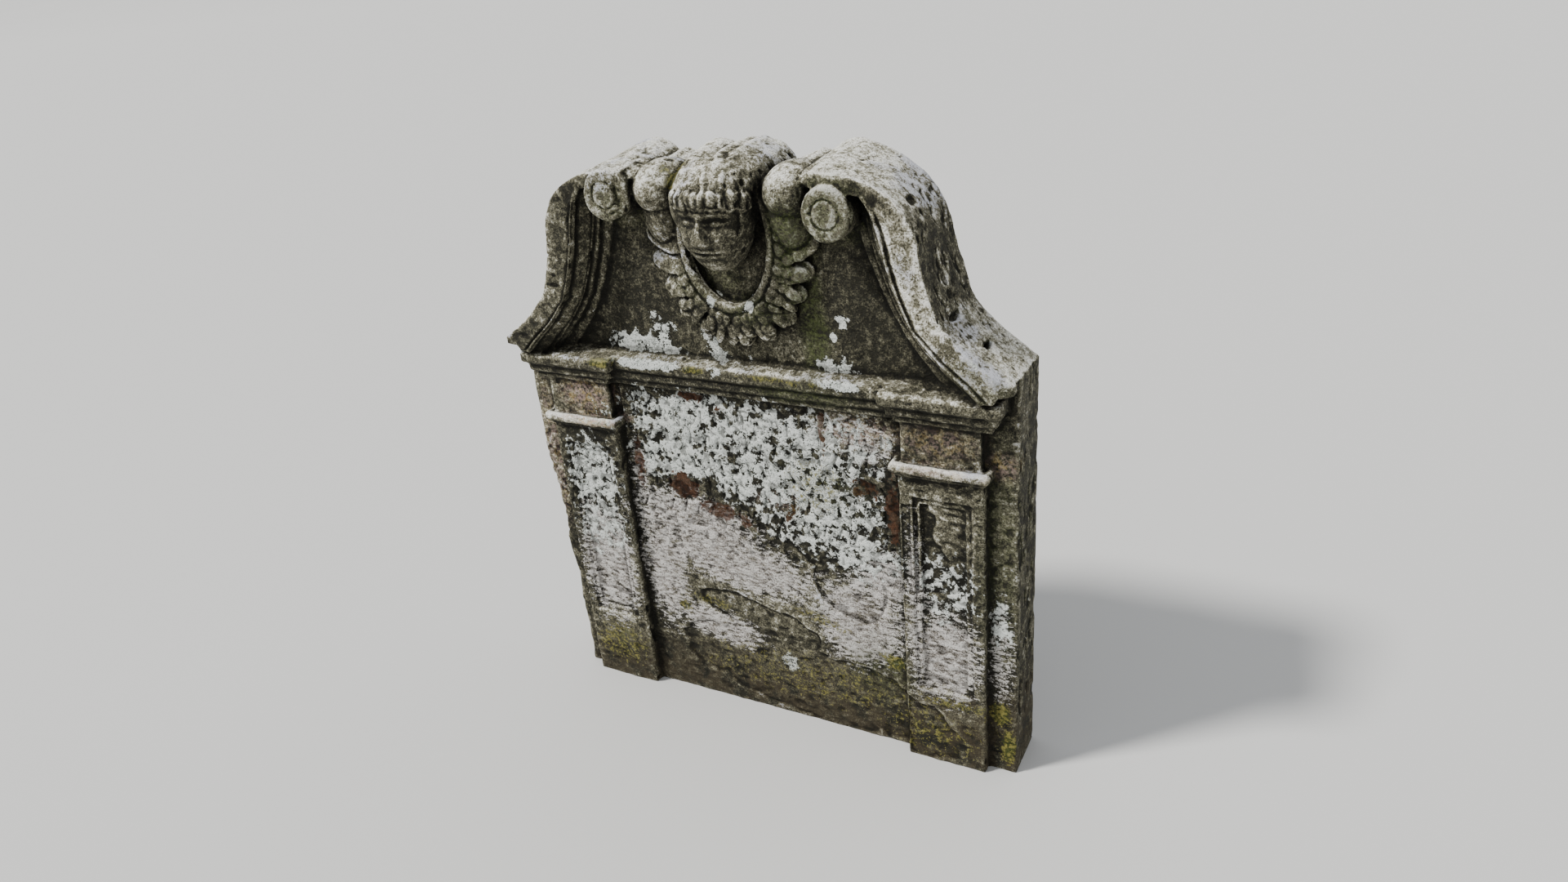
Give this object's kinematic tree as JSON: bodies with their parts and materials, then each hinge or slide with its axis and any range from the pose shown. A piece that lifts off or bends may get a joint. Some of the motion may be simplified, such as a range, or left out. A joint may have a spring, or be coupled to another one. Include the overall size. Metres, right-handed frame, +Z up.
{
  "type": "headstone",
  "caption": "Upright carved sandstone headstone: slab with panelled pilasters, cornice and a swan-neck gable with volutes around a winged head.",
  "frame": {"origin": "middle of the slab's width and thickness on its flat underside, where the stone meets the ground", "axes": "+Z up, -Y the way the carved front looks, +X to the right for someone who faces the front"},
  "size_m": [0.9, 0.1955, 1.037],
  "materials": {
    "weathered_sandstone": "rough, weathered, with lichen and moss"
  },
  "bodies": {
    "root": {"headstone": "weathered_sandstone"}
  },
  "joints": []
}
